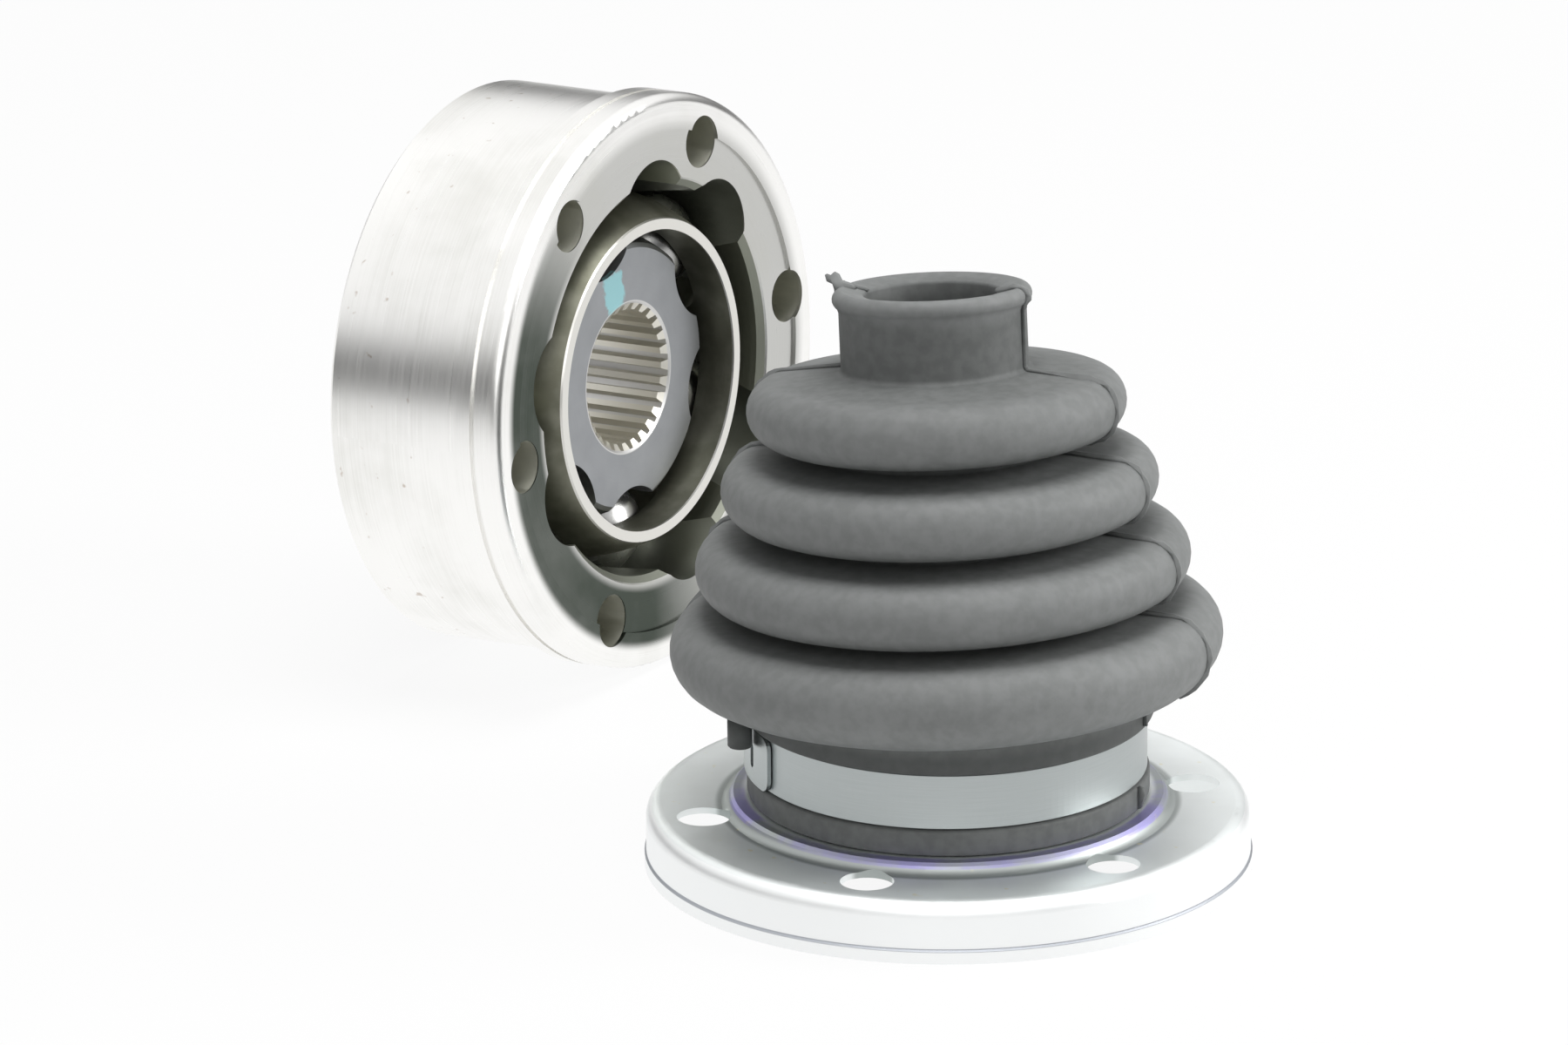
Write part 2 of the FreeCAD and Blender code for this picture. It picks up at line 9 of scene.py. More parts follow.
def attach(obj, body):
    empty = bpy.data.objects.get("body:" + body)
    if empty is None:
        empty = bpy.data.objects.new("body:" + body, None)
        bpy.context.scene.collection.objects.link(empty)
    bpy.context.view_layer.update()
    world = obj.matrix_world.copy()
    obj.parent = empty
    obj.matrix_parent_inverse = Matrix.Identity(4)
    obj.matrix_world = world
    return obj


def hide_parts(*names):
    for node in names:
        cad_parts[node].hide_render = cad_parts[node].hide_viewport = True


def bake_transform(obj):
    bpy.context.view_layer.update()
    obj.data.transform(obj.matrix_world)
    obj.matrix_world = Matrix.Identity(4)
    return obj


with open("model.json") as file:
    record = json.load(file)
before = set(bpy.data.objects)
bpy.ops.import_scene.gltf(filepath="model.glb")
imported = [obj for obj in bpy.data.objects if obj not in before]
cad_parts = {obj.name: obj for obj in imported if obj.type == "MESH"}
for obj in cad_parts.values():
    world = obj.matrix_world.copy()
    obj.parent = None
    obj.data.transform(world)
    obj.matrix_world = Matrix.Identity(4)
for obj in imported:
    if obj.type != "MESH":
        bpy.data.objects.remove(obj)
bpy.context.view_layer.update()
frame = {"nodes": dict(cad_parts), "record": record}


# ---- camera
# Long lens from the front left of the joint, slightly above: both pieces stand
# side by side with little perspective.
def look(azimuth, elevation, roll, distance, lens, target):
    az, el, ro = (math.radians(v) for v in (azimuth, elevation, roll))
    back = Vector((math.cos(az) * math.cos(el), math.sin(az) * math.cos(el), math.sin(el)))
    right = Vector((-math.sin(az), math.cos(az), 0))
    up = back.cross(right)
    side = right * math.cos(ro) + up * math.sin(ro)
    top = up * math.cos(ro) - right * math.sin(ro)
    camera = bpy.data.objects.new("camera", bpy.data.cameras.new("camera"))
    place = Matrix((side, top, back)).transposed().to_4x4()
    place.translation = Vector(target) + back * distance
    camera.matrix_world = place
    camera.data.lens = lens
    camera.data.clip_end = 30
    bpy.context.collection.objects.link(camera)
    bpy.context.scene.camera = camera


look(azimuth=-57.376, elevation=19.336, roll=-0.229, distance=5.0, lens=610.58,
     target=(-0.02596, -0.016617, 0.067542))


# ---- studio
# White table that fades into a white room. Light comes from large soft panels
# above; polished metal also sees the dark walls at eye level.
class Value:
    """One socket, wrapped so that a material reads as plain arithmetic."""
    def __init__(self, tree, socket):
        self.tree = tree
        self.socket = socket

    def node(self, kind, inputs=None, out=0, **settings):
        made = self.tree.nodes.new(kind)
        for key, setting in settings.items():
            setattr(made, key, setting)
        for key, given in (inputs or {}).items():
            if isinstance(given, Value):
                self.tree.links.new(given.socket, made.inputs[key])
            else:
                made.inputs[key].default_value = given
        return Value(self.tree, made.outputs[out])

    def math(self, operation, *others):
        inputs = {0: self}
        inputs.update({k + 1: other for k, other in enumerate(others)})
        return self.node("ShaderNodeMath", inputs, operation=operation)

    def __add__(self, other):
        return self.math("ADD", other)

    def __sub__(self, other):
        return self.math("SUBTRACT", other)

    def __mul__(self, other):
        return self.math("MULTIPLY", other)

    def __truediv__(self, other):
        return self.math("DIVIDE", other)

    def __rsub__(self, other):
        return (self * -1.0) + other

    __radd__ = __add__
    __rmul__ = __mul__

    def __gt__(self, other):
        return self.math("GREATER_THAN", other)

    def __lt__(self, other):
        return self.math("LESS_THAN", other)

    def ramp(self, low, high):
        """0 below low, 1 above high, and smooth between."""
        return self.node("ShaderNodeMapRange", {0: self, 1: low, 2: high},
                         interpolation_type="SMOOTHSTEP")

    def band(self, centre, half, soft):
        """1 within half of centre, falling to 0 over soft."""
        away = (self - centre).math("ABSOLUTE")
        return 1.0 - away.ramp(half, half + soft)

    def noise(self, scale, detail=3.0, rough=0.5):
        """Noise read at this position."""
        return self.node("ShaderNodeTexNoise", {"Vector": self, "Scale": scale, "Detail": detail,
                                                "Roughness": rough})

    def mix(self, first, second):
        """Colour first where this value is 0, second where it is 1."""
        return self.node("ShaderNodeMix", {0: self, 6: first, 7: second}, out=2, data_type="RGBA")

    def split(self):
        made = self.tree.nodes.new("ShaderNodeSeparateXYZ")
        self.tree.links.new(self.socket, made.inputs[0])
        return [Value(self.tree, out) for out in made.outputs]


def rgb(red, green, blue):
    return (red, green, blue, 1.0)


class Surface:
    """One material with its shader and the position in the shared frame."""
    def __init__(self, name, **constants):
        self.material = bpy.data.materials.new(name)
        self.material.use_nodes = True
        self.tree = self.material.node_tree
        self.shader = self.tree.nodes["Principled BSDF"]
        for key, constant in constants.items():
            self.shader.inputs[key.replace("_", " ")].default_value = constant
        coordinate = self.tree.nodes.new("ShaderNodeTexCoord")
        self.place = Value(self.tree, coordinate.outputs["Object"])

    def set(self, **varying):
        for key, value in varying.items():
            self.tree.links.new(value.socket, self.shader.inputs[key.replace("_", " ")])

    def bump(self, height, distance, strength=1.0):
        self.set(Normal=height.node("ShaderNodeBump", {"Height": height, "Distance": distance,
                                                       "Strength": strength}))

    def onto(self, *objects):
        for thing in objects:
            thing.data.materials.clear()
            thing.data.materials.append(self.material)


def rays(tree):
    """1 for rays from the camera, and 1 for rays off polished metal."""
    path = tree.nodes.new("ShaderNodeLightPath")
    return [Value(tree, path.outputs[kind]) for kind in ("Is Camera Ray", "Is Glossy Ray")]


def table():
    """Round white top that glows to the camera, more so towards the white room."""
    glow_near, fade_from, fade_to = 0.90, 0.30, 0.75
    mesh = bmesh.new()
    bmesh.ops.create_circle(mesh, cap_ends=True, segments=96, radius=1.2)
    floor = bpy.data.objects.new("floor", bpy.data.meshes.new("floor"))
    mesh.to_mesh(floor.data)
    mesh.free()
    bpy.context.collection.objects.link(floor)
    white = Surface("table", Base_Color=rgb(0.80, 0.80, 0.80), Roughness=0.9)
    camera_ray, glossy_ray = rays(white.tree)
    x, y = white.place.split()[:2]
    away = (x * x + y * y).math("SQRT")
    faded = away.ramp(fade_from, fade_to) * camera_ray
    share = (camera_ray * glow_near + glossy_ray).math("MAXIMUM", faded)
    glow = white.tree.nodes.new("ShaderNodeEmission")
    blend = white.tree.nodes.new("ShaderNodeMixShader")
    white.tree.links.new(share.socket, blend.inputs[0])
    white.tree.links.new(white.shader.outputs[0], blend.inputs[1])
    white.tree.links.new(glow.outputs[0], blend.inputs[2])
    white.tree.links.new(blend.outputs[0], white.tree.nodes["Material Output"].inputs[0])
    white.onto(floor)


def room():
    """White to the camera, dark low walls to polished metal, and a soft fill."""
    dark_wall, bright_wall, fill = 0.05, 0.92, 0.30
    world = bpy.data.worlds.new("room")
    bpy.context.scene.world = world
    world.use_nodes = True
    tree = world.node_tree
    camera_ray, glossy_ray = rays(tree)
    coordinate = Value(tree, tree.nodes.new("ShaderNodeTexCoord").outputs["Generated"])
    height = coordinate.split()[2]
    walls = height.ramp(0.14, 0.37) * bright_wall + dark_wall
    level = (1.0 - camera_ray) * (glossy_ray * walls + (1.0 - glossy_ray) * fill) + camera_ray
    tree.links.new(level.socket, tree.nodes["Background"].inputs["Strength"])
    tree.nodes["Background"].inputs["Color"].default_value = rgb(1, 1, 1)


def lamps():
    """Three round soft panels, all turned to the middle of the set."""
    aim = Vector((-0.03, 0.0, 0.05))
    for name, place, size, power in (
            ("key", (0.00, 0.02, 1.25), 0.8, 11.0),
            ("front", (0.55, -0.95, 0.60), 0.9, 2.4),
            ("side", (0.90, 0.60, 0.50), 0.6, 8.0)):
        data = bpy.data.lights.new(name, "AREA")
        data.shape = "DISK"
        data.size = size
        data.energy = power
        lamp = bpy.data.objects.new(name, data)
        lamp.location = place
        lamp.rotation_euler = (Vector(place) - aim).to_track_quat("Z", "Y").to_euler()
        bpy.context.collection.objects.link(lamp)


table()
room()
lamps()
bpy.context.scene.view_settings.view_transform = "Standard"


# ---- outer race
# Forged and turned steel ring with six crossed ball tracks and six screw holes.
# It lies tilted, so its steel reads radius, angle and depth in the joint's frame:
# x along the shared frame's Y, z along the axis, depth 0 at the front face.
BOLT_CIRCLE_R = 0.047
BOLT_HOLE_R = 0.00525
BOLT_SPACING = math.radians(60)
BOLT_PHASE = BOLT_SPACING / 2 - math.radians(4.5)
RIM_R = 0.0525
REAR_DEPTH = -0.0400
nodes = frame["nodes"]
mounts = {mount["name"]: mount for mount in frame["record"]["mounts"]}
joint_centre = Vector(mounts["race_bolts"]["pos_m"])
joint_axis = Vector(mounts["race_bolts"]["axis"]).normalized()
joint_side = Vector((0, 1, 0))
joint_frame = Matrix((joint_side, joint_axis.cross(joint_side), joint_axis)).transposed()


class JointSurface(Surface):
    """A material that also knows its place in the joint's own frame."""
    def __init__(self, name, **constants):
        super().__init__(name, **constants)
        local = self.place.node("ShaderNodeMapping", {
            "Vector": self.place, "Location": joint_centre,
            "Rotation": joint_frame.to_euler()}, vector_type="TEXTURE")
        self.x, self.y, self.depth = local.split()
        self.radius = (self.x * self.x + self.y * self.y).math("SQRT")
        self.angle = self.y.math("ARCTAN2", self.x)

    def lathe_marks(self, fine):
        """Noise drawn out round the axis, as a turning tool leaves it."""
        ring = self.radius.node("ShaderNodeCombineXYZ", {
            "X": self.radius * fine, "Y": self.depth * fine, "Z": self.angle * 1.6})
        return ring.noise(1.0, 4.0, 0.6)


def race_steel():
    """Turned bright steel with a darker bore, tracks and bolt holes, and a painted dark reflection low on
    the left.
    """
    dull, bright = rgb(0.56, 0.56, 0.54), rgb(0.97, 0.965, 0.945)
    stained, dark_reflection = rgb(0.50, 0.50, 0.44), rgb(0.055, 0.068, 0.054)
    bore, drilled, rust = rgb(0.24, 0.25, 0.21), rgb(0.60, 0.60, 0.53), rgb(0.34, 0.22, 0.13)
    race = JointSurface("race_steel", Metallic=1.0)
    marks = race.lathe_marks(2600.0)
    cloud = race.place.noise(38.0, 4.0, 0.55)
    face = race.radius.ramp(0.0480, RIM_R).mix(dull, bright)
    stain = (cloud * 0.9 + marks * 0.35).ramp(0.55, 0.95)
    face = (stain * 0.35).mix(face, stained)
    # Painted dark reflection on the face round the mouth of the bore, heavier low on the left.
    low_left = (race.angle + math.radians(152)).math("COSINE").ramp(-0.05, 0.65)
    oil_film_and_dark_reflection = low_left * race.radius.band(0.0458, 0.0045, 0.0022) * (0.75 + cloud * 0.5)
    face = (oil_film_and_dark_reflection * 0.95).mix(face, dark_reflection)
    inside = (race.depth < -0.0010) * (race.depth > -0.0388) * (1.0 - race.radius.ramp(0.0455, 0.0470))
    colour = inside.mix(face, bore)
    sector = ((race.angle + BOLT_PHASE) / BOLT_SPACING).math("FRACT")
    turn = (sector - 0.5) * BOLT_SPACING
    across = race.radius * turn.math("SINE")
    along = race.radius * turn.math("COSINE") - BOLT_CIRCLE_R
    hole = (across * across + along * along).math("SQRT") < BOLT_HOLE_R
    hole = hole * (race.depth < -0.0009) * (race.depth > REAR_DEPTH)
    colour = hole.mix(colour, drilled)
    speck = race.place.noise(420.0, 2.0) * race.depth.band(-0.0300, 0.008, 0.004)
    colour = (speck.ramp(0.68, 0.78) * 0.5).mix(colour, rust)
    race.set(Base_Color=colour,
             Roughness=0.22 + marks * 0.16 + inside * 0.16 + hole * 0.15)
    dish = race.radius.ramp(0.0450, RIM_R) * 16.0
    race.bump(marks + dish, distance=0.00003, strength=0.8)
    race.onto(nodes["outer_race"])


race_steel()


# ---- cage
# Hardened steel ring with six windows that holds the balls in one plane. It is
# dark from heat treatment, and its front edge is ground bright.
def cage_steel():
    edge_depth, edge_r = -0.0021, 0.0292
    dark, worn, bright = rgb(0.17, 0.17, 0.13), rgb(0.26, 0.26, 0.21), rgb(0.74, 0.73, 0.69)
    cage = JointSurface("cage_steel", Metallic=1.0)
    marks = cage.lathe_marks(3200.0)
    ground = (cage.depth > edge_depth) * (cage.radius > edge_r)
    wear = cage.place.noise(160.0).ramp(0.35, 0.75)
    cage.set(Base_Color=ground.mix(wear.mix(dark, worn), bright),
             Roughness=0.42 - ground * 0.14 + marks * 0.1)
    cage.bump(marks, distance=0.00002, strength=0.4)
    cage.onto(nodes["cage"])


cage_steel()


# ---- inner race
# Ground steel hub inside the cage, with six tracks and a splined bore for the
# shaft. Its face is a lavender grey and carries a dab of turquoise marking paint.
def inner_steel():
    spline_r, bevel_r = 0.01435, 0.0145
    dab_at, dab_size = (-0.0033, 0.0178), (0.0041, 0.0050)
    dull, grey, bright = rgb(0.27, 0.28, 0.29), rgb(0.36, 0.37, 0.385), rgb(0.80, 0.79, 0.77)
    silvery, turquoise = rgb(0.72, 0.70, 0.63), rgb(0.28, 0.62, 0.66)
    inner = JointSurface("inner_steel", Metallic=1.0)
    marks = inner.lathe_marks(2400.0)
    cloud = inner.place.noise(150.0, 4.0)
    bevel = inner.radius.band(bevel_r, 0.0004, 0.0002)
    face = (bevel * 0.7).mix(cloud.mix(dull, grey), bright)
    colour = (inner.radius < spline_r).mix(face, silvery)
    out_x = (inner.x - dab_at[0]) / dab_size[0]
    out_y = (inner.y - dab_at[1]) / dab_size[1]
    dab = (out_x * out_x + out_y * out_y).math("SQRT") + (inner.place.noise(420.0) - 0.5) * 1.1
    dab = (1.0 - dab.ramp(0.75, 1.0)) * (inner.depth > -0.0080) * (inner.radius > 0.0147)
    colour = (dab * 0.75).mix(colour, turquoise)
    inner.set(Base_Color=colour, Metallic=1.0 - dab * 0.8, Roughness=0.34 + marks * 0.12 + dab * 0.1)
    inner.bump(marks, distance=0.00002, strength=0.4)
    inner.onto(nodes["inner_race"])


inner_steel()


# ---- balls
# Six polished bearing balls, one in each cage window where two tracks cross,
# under a thin film of oil.
def ball_steel():
    ball = Surface("ball_steel", Metallic=1.0)
    oil_film_and_dark_reflection = ball.place.noise(210.0, 2.0)
    colour = oil_film_and_dark_reflection.mix(rgb(0.40, 0.40, 0.39), rgb(0.52, 0.52, 0.51))
    ball.set(Base_Color=colour, Roughness=0.22 + oil_film_and_dark_reflection * 0.10)
    ball.onto(*(nodes["ball_%d" % k] for k in range(1, 7)))


ball_steel()


# ---- flange cap
# Pressed sheet steel with satin zinc plate, bolted on the same circle as the
# race. A bluish tinge lies where the die pressed hardest. The hem crease and the
# foot of the seat carry painted shade, and the skirt a painted reflection of the table.
def zinc_plate():
    seat_r, seat_foot_r, shoulder_z = 0.0400, 0.0414, 0.0130
    skirt_r, hem_r, hem_z = 0.0560, 0.0565, 0.0026
    plate, bright, skirt_reflection = rgb(0.82, 0.85, 0.84), rgb(0.93, 0.96, 0.96), rgb(0.98, 0.99, 0.99)
    shaded, violet = rgb(0.34, 0.37, 0.36), rgb(0.40, 0.36, 0.72)
    hem_shade, yellow = rgb(0.30, 0.32, 0.36), rgb(0.80, 0.72, 0.40)
    zinc = Surface("zinc_plate", Metallic=1.0)
    x, y, z = zinc.place.split()
    radius = (x * x + y * y).math("SQRT")
    cloud = zinc.place.noise(55.0, 4.0, 0.6)
    grain = zinc.place.noise(1500.0, 2.0)
    # Painted shade round the foot of the seat, next to the cuff.
    foot = radius.band(seat_foot_r, 0.0018, 0.0012)
    colour = (foot * 0.75).mix(cloud.mix(plate, bright), shaded)
    ring = radius.band(seat_r, 0.0012, 0.0008) * (z > shoulder_z)
    colour = (ring * cloud.ramp(0.35, 0.65) * 0.8).mix(colour, violet)
    # The skirt is painted near white: a painted reflection of the white table.
    colour = ((radius > skirt_r) * 0.8).mix(colour, skirt_reflection)
    # Painted shade line in the hem crease.
    crease = z.band(hem_z, 0.0002, 0.0002) * (radius > hem_r)
    colour = (crease * 0.8).mix(colour, hem_shade)
    speck = zinc.place.noise(330.0, 1.0).ramp(0.70, 0.78) * radius.band(BOLT_CIRCLE_R, 0.004, 0.003)
    colour = (speck * 0.5).mix(colour, yellow)
    zinc.set(Base_Color=colour, Roughness=0.40 + cloud * 0.16)
    zinc.bump(grain, distance=0.00003, strength=0.35)
    zinc.onto(nodes["flange_cap"])


zinc_plate()


# ---- rubber boot
# One moulding in black rubber, with a cuff, four folds and a beaded neck; the band
# clamp holds its cuff on the cap. Its two halves here meet in the middle valley.
# It leans back and to the left. Sizes in millimetres, heights above the floor.
mm = 0.001
WALL = 1.8
PITCH = 14.9
CREST_Z = 89.4
CREST_R = 35.8
CREST_ROUNDS = (5.6, 5.7, 5.9, 7.0)
GROWTH = 5.45
VALLEY_R = 22.5
VALLEY_ROUND = 1.0
VALLEY_RISE = 7.8
VALLEY_GROWTH = 6.0
MIDDLE_Z = 68.0
NECK_R = 17.7
NECK_ROUND = 1.1
NECK_FOOT_Z = 97.3
BEAD_R = 1.75
BEAD_AT = (17.1, 110.0)
CUFF_R = 39.0
CUFF_ROUND = 1.5
CUFF_TOP_Z = 35.6
AWAY = Vector((-0.539, 0.842, 0.0))
ASIDE = Vector((0.842, 0.539, 0.0))
SIDE_LEAN = -2.21
LEAN_FROM_Z = 31.0
LEAN_OVER = 8.0
BACK_LEAN = ((31.0, 0.0), (41.0, 3.0), (60.0, 4.0), (75.0, 4.8), (90.0, 7.4), (106.0, 9.8), (120.0, 9.8))
SEAM_ANGLES = (12.6, 192.6)
SEAM_HEIGHT = 0.75
SEAM_WIDTH = 0.60
VENT_AT_R = 41.1
VENT_ANGLE = math.radians(229.8)


def rounds(inset):
    """Centre, radius and bulge of each round of the section, from the neck down."""
    found = [((NECK_R + NECK_ROUND, NECK_FOOT_Z), NECK_ROUND + inset, -1)]
    for k in range(4):
        crest_z = CREST_Z - k * PITCH
        if k > 0:
            valley_r = VALLEY_R + (k - 1) * VALLEY_GROWTH
            found.append(((valley_r + VALLEY_ROUND, crest_z + VALLEY_RISE), VALLEY_ROUND + inset, -1))
        crest = CREST_ROUNDS[k]
        drop = (crest - CREST_ROUNDS[0]) * 0.6
        found.append(((CREST_R + k * GROWTH - crest, crest_z - drop), crest - inset, 1))
    found.append(((CUFF_R + CUFF_ROUND, CUFF_TOP_Z), CUFF_ROUND + inset, -1))
    return found


def contour(inset):
    """Points over all the rounds and the straight walls between them."""
    found = rounds(inset)
    joins = []
    for (centre, radius, bulge), (next_centre, next_radius, _) in zip(found, found[1:]):
        swing = math.acos((radius + next_radius) / math.dist(centre, next_centre))
        course = math.atan2(next_centre[1] - centre[1], next_centre[0] - centre[0])
        angle = course + bulge * swing
        normal = Vector((math.cos(angle), math.sin(angle)))
        joins.append((Vector(centre) + normal * radius, Vector(next_centre) - normal * next_radius))
    first = Vector((found[0][0][0] - found[0][1], found[0][0][1]))
    last = Vector((found[-1][0][0] - found[-1][1], found[-1][0][1]))
    starts = [first] + [join[1] for join in joins]
    ends = [join[0] for join in joins] + [last]
    points = []
    for (centre, radius, bulge), start, end in zip(found, starts, ends):
        a0, a1 = (math.atan2(p[1] - centre[1], p[0] - centre[0]) for p in (start, end))
        if bulge < 0:
            a0, a1 = a0 % (2 * math.pi), a1 % (2 * math.pi)
        steps = 14 if bulge > 0 else 7
        for k in range(steps + 1):
            a = a0 + (a1 - a0) * k / steps
            points.append((centre[0] + radius * math.cos(a), centre[1] + radius * math.sin(a)))
    return points


def parted(points, z):
    """The contour above and below the innermost point of the valley near z."""
    best = min((p for p in points if abs(p[1] - z) < 4), key=lambda p: p[0])
    at = points.index(best)
    return points[:at + 1], points[at:]


def add_turned(mesh, section, steps, at=(0.0, 0.0)):
    """Turns a closed section, given as (radius, height) in millimetres, about an
    upright axis."""
    ring = [mesh.verts.new(((at[0] + r) * mm, at[1] * mm, z * mm)) for r, z in section]
    edges = [mesh.edges.new(pair) for pair in zip(ring, ring[1:] + ring[:1])]
    bmesh.ops.spin(mesh, geom=ring + edges, cent=(at[0] * mm, at[1] * mm, 0), axis=(0, 0, 1),
                   angle=2 * math.pi, steps=steps, use_merge=True)


def thicken(mesh, faces, along):
    """Extrudes faces along a vector; the first ones stay as the near side."""
    swept = bmesh.ops.extrude_face_region(mesh, geom=faces, use_keep_orig=True)["geom"]
    moved = [part for part in swept if isinstance(part, bmesh.types.BMVert)]
    bmesh.ops.translate(mesh, verts=moved, vec=along)


def add_fin(mesh, points, degrees, width):
    """Extrudes a closed outline, given as (radius, height), across the plane
    through the axis at one angle, and marks it as flash."""
    turn = Matrix.Rotation(math.radians(degrees), 3, "Z")
    across = turn @ Vector((0, width * mm, 0))
    known = set(mesh.faces)
    corners = [mesh.verts.new(turn @ Vector((r * mm, 0, z * mm)) - across / 2) for r, z in points]
    thicken(mesh, [mesh.faces.new(corners)], across)
    for face in mesh.faces:
        if face not in known:
            face.material_index = 1


def add_seam(mesh, line, degrees, height, width):
    """Thin ragged fin of moulding flash that follows the outside at one angle."""
    chance = random.Random(int(degrees * 10) + len(line))
    top, foot = [], []
    for k, (r, z) in enumerate(line):
        ahead, behind = line[min(k + 1, len(line) - 1)], line[max(k - 1, 0)]
        out = Vector((behind[1] - ahead[1], ahead[0] - behind[0])).normalized()
        rise = height * chance.uniform(0.6, 1.25)
        top.append((r + out.x * rise, z + out.y * rise))
        foot.append((r - out.x * 0.3, z - out.y * 0.3))
    add_fin(mesh, top + foot[::-1], degrees, width)


def back_lean(z):
    """Degrees that the boot leans back at a height."""
    for (z0, a0), (z1, a1) in zip(BACK_LEAN, BACK_LEAN[1:]):
        if z0 <= z <= z1:
            return a0 + (a1 - a0) * (z - z0) / (z1 - z0)
    return 0.0


def sag(mesh):
    """Leans everything above the clamp, a little more with each fold."""
    step, levels = 0.5 * mm, 241
    slopes = []
    shifts = [Vector((0, 0, 0))]
    for k in range(levels):
        z = k * 0.5
        aside = SIDE_LEAN * min(1.0, max(0.0, (z - LEAN_FROM_Z) / LEAN_OVER))
        slope = AWAY * math.tan(math.radians(back_lean(z))) + ASIDE * math.tan(math.radians(aside))
        slopes.append(slope)
        shifts.append(shifts[-1] + slope * step)
    for vert in mesh.verts:
        at = min(max(vert.co.z / step, 0.0), levels - 2.0)
        k = int(at)
        slope = slopes[k].lerp(slopes[k + 1], at - k)
        shift = shifts[k].lerp(shifts[k + 1], at - k)
        vert.co = vert.co + shift - Vector((0, 0, slope.x * vert.co.x + slope.y * vert.co.y))


def finished(mesh, name):
    """Closes the seams, turns the faces outwards and makes the object."""
    bmesh.ops.remove_doubles(mesh, verts=mesh.verts, dist=0.000002)
    bmesh.ops.recalc_face_normals(mesh, faces=mesh.faces)
    thing = bpy.data.objects.new(name, bpy.data.meshes.new(name))
    mesh.to_mesh(thing.data)
    mesh.free()
    bpy.context.collection.objects.link(thing)
    thing.data.shade_smooth()
    return thing


outer_up, outer_down = parted(contour(0), MIDDLE_Z)
inner_up, inner_down = parted(contour(WALL), MIDDLE_Z)

neck_edge = [(12.8, 100.0), (12.8, 110.1), (12.9, 110.5), (13.2, 110.8), (15.4, 111.3), (16.6, 111.6)]
for k in range(11):
    a = math.radians(95 - 153 * k / 10)
    neck_edge.append((BEAD_AT[0] + BEAD_R * math.cos(a), BEAD_AT[1] + BEAD_R * math.sin(a)))
neck_edge.append((NECK_R, 107.6))
neck_flash = [(16.0, 110.6), (17.6, 109.6), (18.8, 109.4), (18.9, 111.2), (19.2, 112.2), (20.3, 112.7),
              (20.6, 113.9), (19.7, 113.6), (19.0, 114.3), (18.2, 113.9), (17.6, 112.7), (15.6, 112.1),
              (14.8, 111.4)]
upper = bmesh.new()
add_turned(upper, neck_edge + outer_up + inner_up[::-1], steps=176)
for degrees in SEAM_ANGLES:
    add_seam(upper, neck_edge[2:] + outer_up, degrees, SEAM_HEIGHT, SEAM_WIDTH)
add_fin(upper, neck_flash, degrees=196.0, width=1.5)
sag(upper)
boot_upper = finished(upper, "boot_upper")

cuff_out = [(CUFF_R, 31.2), (38.8, 30.75), (38.3, 30.6), (36.9, 30.6), (36.9, 19.3), (37.5, 19.3),
            (37.9, 19.0), (38.0, 18.6), (38.0, 15.1), (37.8, 14.5), (37.2, 14.2), (34.9, 14.2),
            (34.0, 15.1), (34.0, 31.0)]
vent = [(1.2, 31.0), (1.2, 27.4), (1.4, 27.2), (2.1, 27.2), (2.35, 27.5), (2.35, 38.2)]
vent_at = (VENT_AT_R * math.cos(VENT_ANGLE), VENT_AT_R * math.sin(VENT_ANGLE))
foot_flash = [(37.6, 17.4), (38.0, 19.2), (38.9, 18.9), (39.3, 17.7), (38.6, 15.0), (37.6, 14.6)]
lower = bmesh.new()
add_turned(lower, outer_down + cuff_out + inner_down[::-1], steps=208)
add_turned(lower, vent, steps=24, at=vent_at)
for degrees in SEAM_ANGLES:
    add_seam(lower, outer_down + [(CUFF_R, 31.4)], degrees, SEAM_HEIGHT, SEAM_WIDTH)
    add_fin(lower, foot_flash, degrees, width=0.9)
sag(lower)
boot_lower = finished(lower, "boot_lower")


def rubber():
    """Matt moulded rubber, greyer towards the crests, which lie on one taper, with
    a painted highlight on the top of the bead, painted shade on the cuff under the
    lowest fold, and the darker torn flash along its seams."""
    taper = 0.366
    black, light_grey_and_highlight = rgb(0.118, 0.124, 0.121), rgb(0.215, 0.222, 0.220)
    shaded = rgb(0.030, 0.033, 0.032)
    torn, torn_edge = rgb(0.018, 0.018, 0.018), rgb(0.055, 0.055, 0.055)
    skin = Surface("rubber", Specular_IOR_Level=0.35)
    x, y, z = skin.place.split()
    cloud = skin.place.noise(70.0, 5.0, 0.6)
    fine = skin.place.noise(900.0, 3.0)
    radius = (x * x + y * y).math("SQRT")
    crest = (radius + z * taper).ramp(0.0585, 0.0685)
    tone = (crest * 0.55 + cloud * 0.55 - 0.1).math("MAXIMUM", 0.0)
    streak = skin.place.noise(420.0, 2.0).ramp(0.30, 0.70)
    # The top of the bead is made lighter: a painted highlight.
    tone = (tone + streak * 0.26 - 0.13 + z.ramp(0.1080, 0.1115) * 0.6).math("MAXIMUM", 0.0)
    colour = tone.mix(black, light_grey_and_highlight)
    # Painted shade on the cuff under the lowest fold.
    under = (1.0 - z.ramp(0.0330, 0.0365)) * (z > 0.0250)
    colour = (under * 0.6).mix(colour, shaded)
    skin.set(Base_Color=colour, Roughness=0.50 + cloud * 0.20)
    skin.bump(fine, distance=0.00008, strength=0.4)
    skin.onto(boot_upper, boot_lower)
    flash = Surface("rubber_flash", Roughness=0.8)
    shade = flash.place.noise(600.0, 2.0)
    flash.set(Base_Color=shade.mix(torn, torn_edge))
    for half in (boot_upper, boot_lower):
        half.data.materials.append(flash.material)


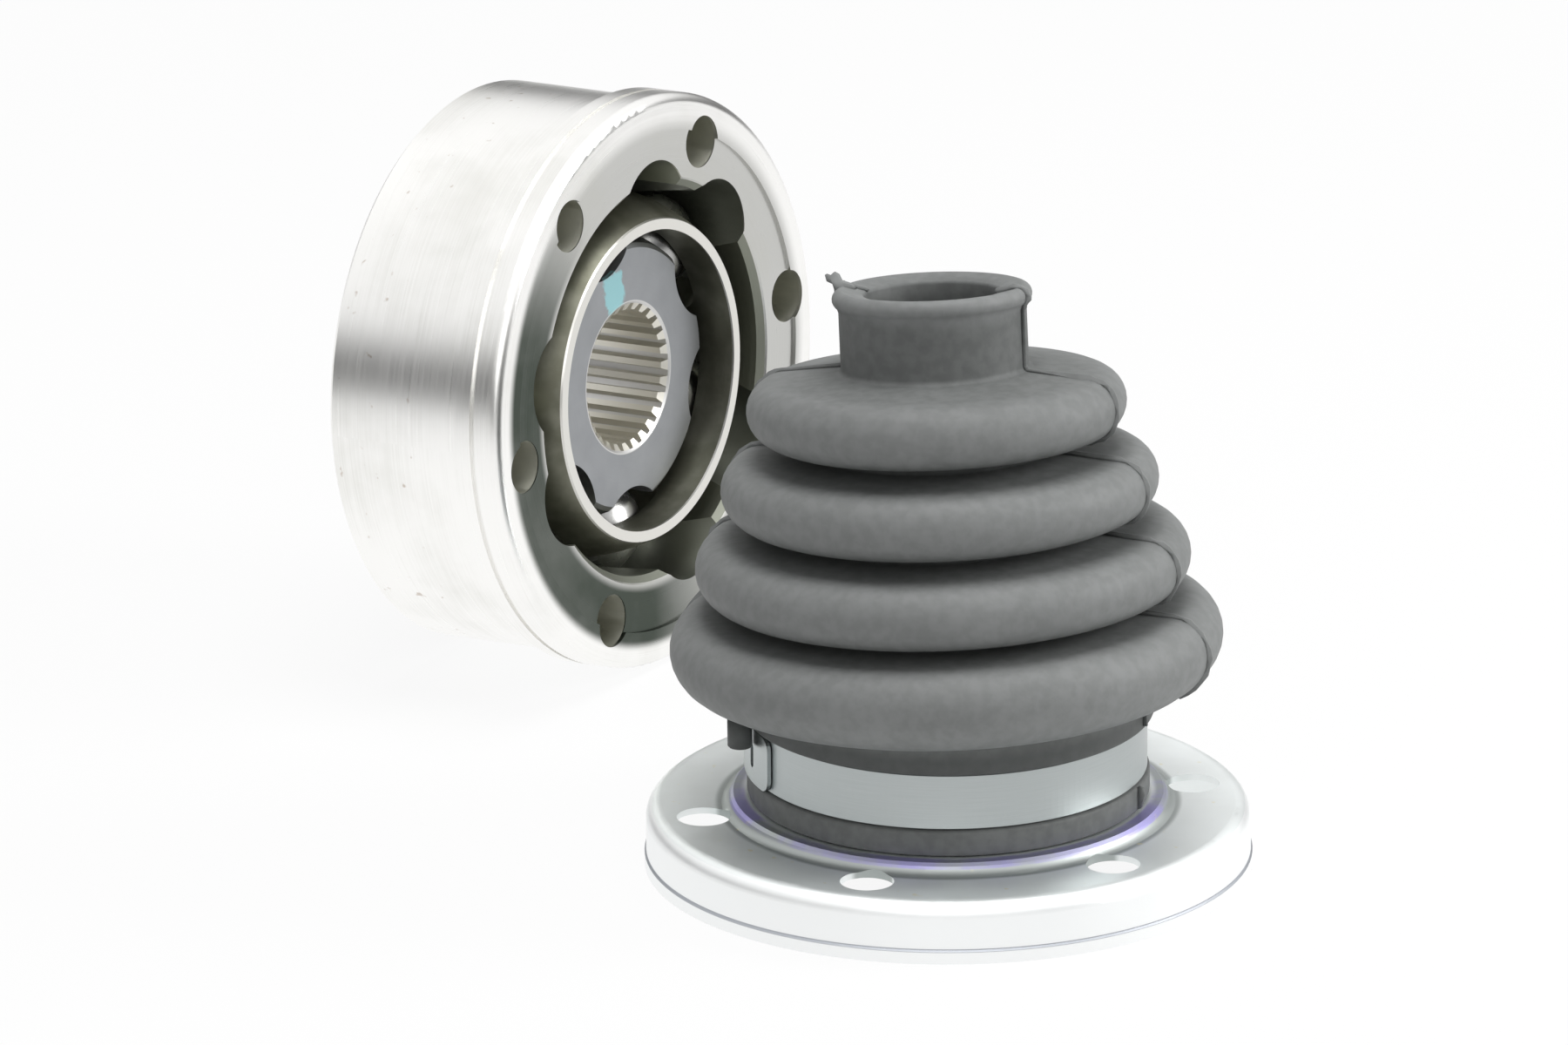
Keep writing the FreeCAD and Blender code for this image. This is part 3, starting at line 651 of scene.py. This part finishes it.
rubber()
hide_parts("boot_neck", "boot_folds_upper", "boot_mid_ring")
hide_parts("boot_folds_lower", "boot_cuff")
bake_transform(boot_upper)
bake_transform(boot_lower)


# ---- clamp
# A flat strip of satin stainless steel round the cuff. Its outer end, with
# rounded corners and a slot for the tool, laps over the strip.
BAND_LOW = 19.6
BAND_HIGH = 30.3
BAND_INSIDE_R = 36.95
BAND_OUTSIDE_R = 37.55
LAP_R = 37.75
LAP_THICK = 0.8
LAP_LENGTH = 24.0
LAP_ANGLE = math.radians(240.2)


def lapped_end(mesh):
    """Cuts the end flat, gives it thickness and bends it round the strip."""
    corner, slot_at, slot_round = 2.4, 7.6, 0.9
    outline = [(LAP_LENGTH, BAND_HIGH), (LAP_LENGTH, BAND_LOW)]
    for start, centre in ((-90, (corner, BAND_LOW + corner)), (180, (corner, BAND_HIGH - corner))):
        for k in range(7):
            a = math.radians(start - 15 * k)
            outline.append((centre[0] + corner * math.cos(a), centre[1] + corner * math.sin(a)))
    slot = []
    for start, z in ((180, 23.4), (0, 26.6)):
        for k in range(7):
            a = math.radians(start + 30 * k)
            slot.append((slot_at + slot_round * math.cos(a), z + slot_round * math.sin(a)))
    edges = []
    for loop in (outline, slot):
        ring = [mesh.verts.new((u * mm, 0, z * mm)) for u, z in loop]
        edges += [mesh.edges.new(pair) for pair in zip(ring, ring[1:] + ring[:1])]
    bmesh.ops.triangle_fill(mesh, use_beauty=True, use_dissolve=False, edges=edges)
    for k in range(1, int(LAP_LENGTH)):
        bmesh.ops.bisect_plane(mesh, geom=mesh.verts[:] + mesh.edges[:] + mesh.faces[:],
                               plane_co=(k * mm, 0, 0), plane_no=(1, 0, 0))
    thicken(mesh, mesh.faces[:], (0, LAP_THICK * mm, 0))
    for vert in mesh.verts:
        radius = LAP_R * mm + vert.co.y
        a = LAP_ANGLE - vert.co.x / (LAP_R * mm)
        vert.co = Vector((radius * math.cos(a), radius * math.sin(a), vert.co.z))


strip = bmesh.new()
add_turned(strip, [(BAND_INSIDE_R, BAND_LOW), (37.4, BAND_LOW), (BAND_OUTSIDE_R, 19.75),
                   (BAND_OUTSIDE_R, 30.15), (37.4, BAND_HIGH), (BAND_INSIDE_R, BAND_HIGH)], steps=176)
band = finished(strip, "clamp_band")
end = bmesh.new()
lapped_end(end)
tongue = finished(end, "clamp_end")
for piece in (band, tongue):
    piece.data.shade_flat()
    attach(piece, "outer_race_and_boot_base")
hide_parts("boot_clamp")


def clamp_steel():
    """Satin steel, brushed along the strip."""
    satin = Surface("clamp_steel", Metallic=1.0)
    x, y, z = satin.place.split()
    angle = y.math("ARCTAN2", x)
    brushed = z.node("ShaderNodeCombineXYZ", {"X": z * 5200.0, "Y": angle * 3.0, "Z": 0.0}).noise(1.0, 3.0)
    colour = brushed.mix(rgb(0.39, 0.42, 0.42), rgb(0.48, 0.51, 0.51))
    satin.set(Base_Color=colour, Roughness=0.30 + brushed * 0.14)
    satin.bump(brushed, distance=0.00003, strength=0.5)
    satin.onto(band, tongue)


clamp_steel()
